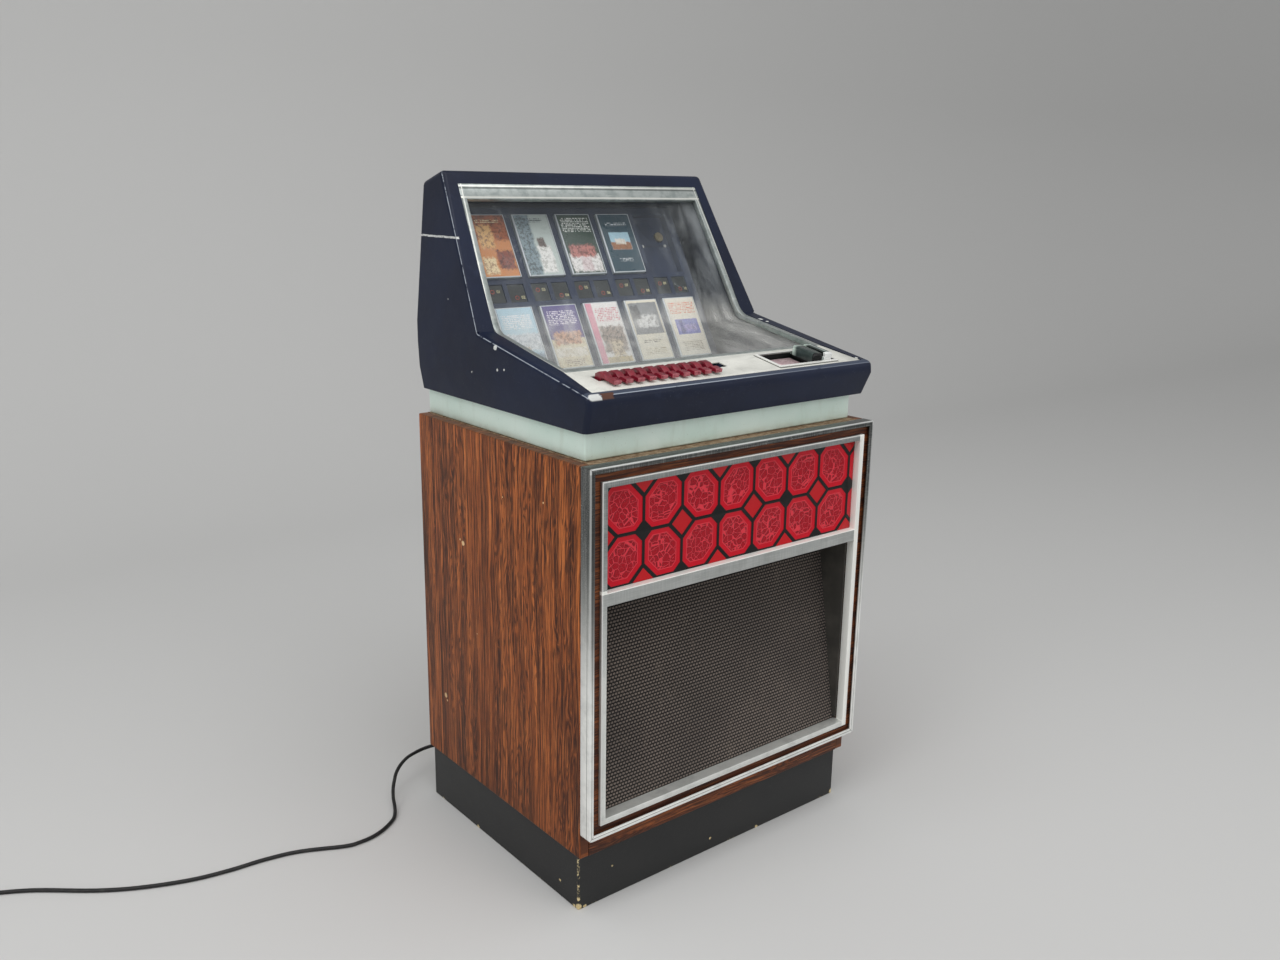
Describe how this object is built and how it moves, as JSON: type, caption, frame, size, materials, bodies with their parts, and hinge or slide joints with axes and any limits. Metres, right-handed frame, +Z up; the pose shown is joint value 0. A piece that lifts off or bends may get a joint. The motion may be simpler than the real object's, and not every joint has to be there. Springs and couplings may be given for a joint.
{
  "type": "floor-standing cassette jukebox",
  "caption": "Floor-standing coin-operated cassette jukebox: wooden cabinet with a lit red front and speaker grille, and a hinged head with a bent window and piano keys.",
  "frame": {"origin": "on the floor under the middle of the cabinet's outline, cord left out", "axes": "+Z up, -Y towards the front with the speaker grille and the piano keys, +X to the right as seen from behind the grille's front, where the coin unit is"},
  "size_m": [1.3641, 0.6626, 1.0474],
  "materials": {
    "base_black": "semi-matt black, chipped at the corners",
    "rosewood": "rosewood-grain laminate, satin",
    "raw_board": "bare chipboard",
    "walnut": "dark walnut veneer",
    "aluminium": "anodised, worn and speckled",
    "red_acrylic": "translucent red acrylic with a black printed lattice",
    "lamp_glass": "white fluorescent tube",
    "white_enamel": "white stove enamel",
    "grille_cloth": "coarse dark weave",
    "dark_board": "black-stained board",
    "black_paper": "black paper cone in a steel basket",
    "grey_steel": "zinc-plated sheet steel",
    "mint_paint": "pale mint paint",
    "rack_navy": "navy blue, fine grain",
    "case_clear": "clear polystyrene case with a printed card",
    "brass": "pale brass",
    "chrome": "bright chrome",
    "navy_shell": "navy moulded plastic, worn at the edges",
    "clear_acrylic": "clear acrylic sheet, slightly hazy",
    "panel_white": "off-white enamel",
    "key_red": "dark red",
    "cord_rubber": "black flexible sheath"
  },
  "bodies": {
    "cabinet": {"base_frame": "base_black", "bottom_board": "raw_board", "side_panel_left": "rosewood", "side_panel_right": "rosewood", "top_board": "raw_board", "front_rail": "rosewood", "outer_frame": "aluminium", "walnut_fascia": "walnut", "inner_frame": "aluminium", "light_panel": "red_acrylic", "lamp_tube": "lamp_glass", "lamp_reflector": "white_enamel", "grille_cloth": "grille_cloth", "speaker_baffle": "dark_board", "loudspeaker_left": "black_paper", "loudspeaker_right": "black_paper", "amplifier": "grey_steel", "cash_box": "grey_steel", "coin_chute": "grey_steel", "door_hinge": "grey_steel", "pedestal": "mint_paint", "lid_hinge": "grey_steel", "player_unit": "grey_steel", "cord_gland": "cord_rubber", "cord": "cord_rubber", "cord_coil": "cord_rubber", "plug": "cord_rubber"},
    "back_door": {"back_door": "raw_board", "door_hinge_leaf": "grey_steel"},
    "door_lock": {"door_lock": "chrome"},
    "rack_lock": {"rack_lock": "brass"},
    "head": {"head_shell": "navy_shell", "window": "clear_acrylic", "window_trim": "aluminium", "control_panel": "panel_white", "key_bracket": "grey_steel", "coin_bezel": "chrome", "coin_unit": "chrome", "lid_hinge_leaf": "grey_steel", "rack_panel": "rack_navy", "cassette_01": "case_clear", "cassette_02": "case_clear", "cassette_03": "case_clear", "cassette_04": "case_clear", "cassette_05": "case_clear", "cassette_06": "case_clear", "cassette_07": "case_clear", "cassette_08": "case_clear", "cassette_09": "case_clear"},
    "key_01": {"key_01": "key_red"},
    "key_02": {"key_02": "key_red"},
    "key_03": {"key_03": "key_red"},
    "key_04": {"key_04": "key_red"},
    "key_05": {"key_05": "key_red"},
    "key_06": {"key_06": "key_red"},
    "key_07": {"key_07": "key_red"},
    "key_08": {"key_08": "key_red"},
    "key_09": {"key_09": "key_red"},
    "key_10": {"key_10": "key_red"}
  },
  "joints": [
    {"name": "head_hinge", "type": "hinge", "parent": "cabinet", "child": "head", "pos_m": [0, 0.23115, 0.7123], "axis": [-1, 0, 0], "range_deg": [0, 45]},
    {"name": "back_door_hinge", "type": "hinge", "parent": "cabinet", "child": "back_door", "pos_m": [0.264, 0.22915, 0.382], "axis": [0, 0, -1], "range_deg": [0, 110]},
    {"name": "door_lock_turn", "type": "hinge", "parent": "back_door", "child": "door_lock", "pos_m": [-0.2347, 0.21985, 0.38215], "axis": [0, -1, 0], "range_deg": [0, 90]},
    {"name": "rack_lock_turn", "type": "hinge", "parent": "head", "child": "rack_lock", "pos_m": [0.185, 0.19533, 0.9404], "axis": [0, -0.866, 0.5], "range_deg": [0, 90]},
    {"name": "key_01_press", "type": "hinge", "parent": "head", "child": "key_01", "pos_m": [-0.2135, -0.1447, 0.7684], "axis": [1, 0, 0], "range_deg": [0, 2.5], "stiffness_Nm_per_rad": 0.5, "springref_deg": -1.72},
    {"name": "key_02_press", "type": "hinge", "parent": "head", "child": "key_02", "pos_m": [-0.1933, -0.1447, 0.7684], "axis": [1, 0, 0], "range_deg": [0, 2.5], "stiffness_Nm_per_rad": 0.5, "springref_deg": -1.72},
    {"name": "key_03_press", "type": "hinge", "parent": "head", "child": "key_03", "pos_m": [-0.1731, -0.1447, 0.7684], "axis": [1, 0, 0], "range_deg": [0, 2.5], "stiffness_Nm_per_rad": 0.5, "springref_deg": -1.72},
    {"name": "key_04_press", "type": "hinge", "parent": "head", "child": "key_04", "pos_m": [-0.1529, -0.1447, 0.7684], "axis": [1, 0, 0], "range_deg": [0, 2.5], "stiffness_Nm_per_rad": 0.5, "springref_deg": -1.72},
    {"name": "key_05_press", "type": "hinge", "parent": "head", "child": "key_05", "pos_m": [-0.1327, -0.1447, 0.7684], "axis": [1, 0, 0], "range_deg": [0, 2.5], "stiffness_Nm_per_rad": 0.5, "springref_deg": -1.72},
    {"name": "key_06_press", "type": "hinge", "parent": "head", "child": "key_06", "pos_m": [-0.1125, -0.1447, 0.7684], "axis": [1, 0, 0], "range_deg": [0, 2.5], "stiffness_Nm_per_rad": 0.5, "springref_deg": -1.72},
    {"name": "key_07_press", "type": "hinge", "parent": "head", "child": "key_07", "pos_m": [-0.0923, -0.1447, 0.7684], "axis": [1, 0, 0], "range_deg": [0, 2.5], "stiffness_Nm_per_rad": 0.5, "springref_deg": -1.72},
    {"name": "key_08_press", "type": "hinge", "parent": "head", "child": "key_08", "pos_m": [-0.0721, -0.1447, 0.7684], "axis": [1, 0, 0], "range_deg": [0, 2.5], "stiffness_Nm_per_rad": 0.5, "springref_deg": -1.72},
    {"name": "key_09_press", "type": "hinge", "parent": "head", "child": "key_09", "pos_m": [-0.0519, -0.1447, 0.7684], "axis": [1, 0, 0], "range_deg": [0, 2.5], "stiffness_Nm_per_rad": 0.5, "springref_deg": -1.72},
    {"name": "key_10_press", "type": "hinge", "parent": "head", "child": "key_10", "pos_m": [-0.0317, -0.1447, 0.7684], "axis": [1, 0, 0], "range_deg": [0, 2.5], "stiffness_Nm_per_rad": 0.5, "springref_deg": -1.72}
  ]
}
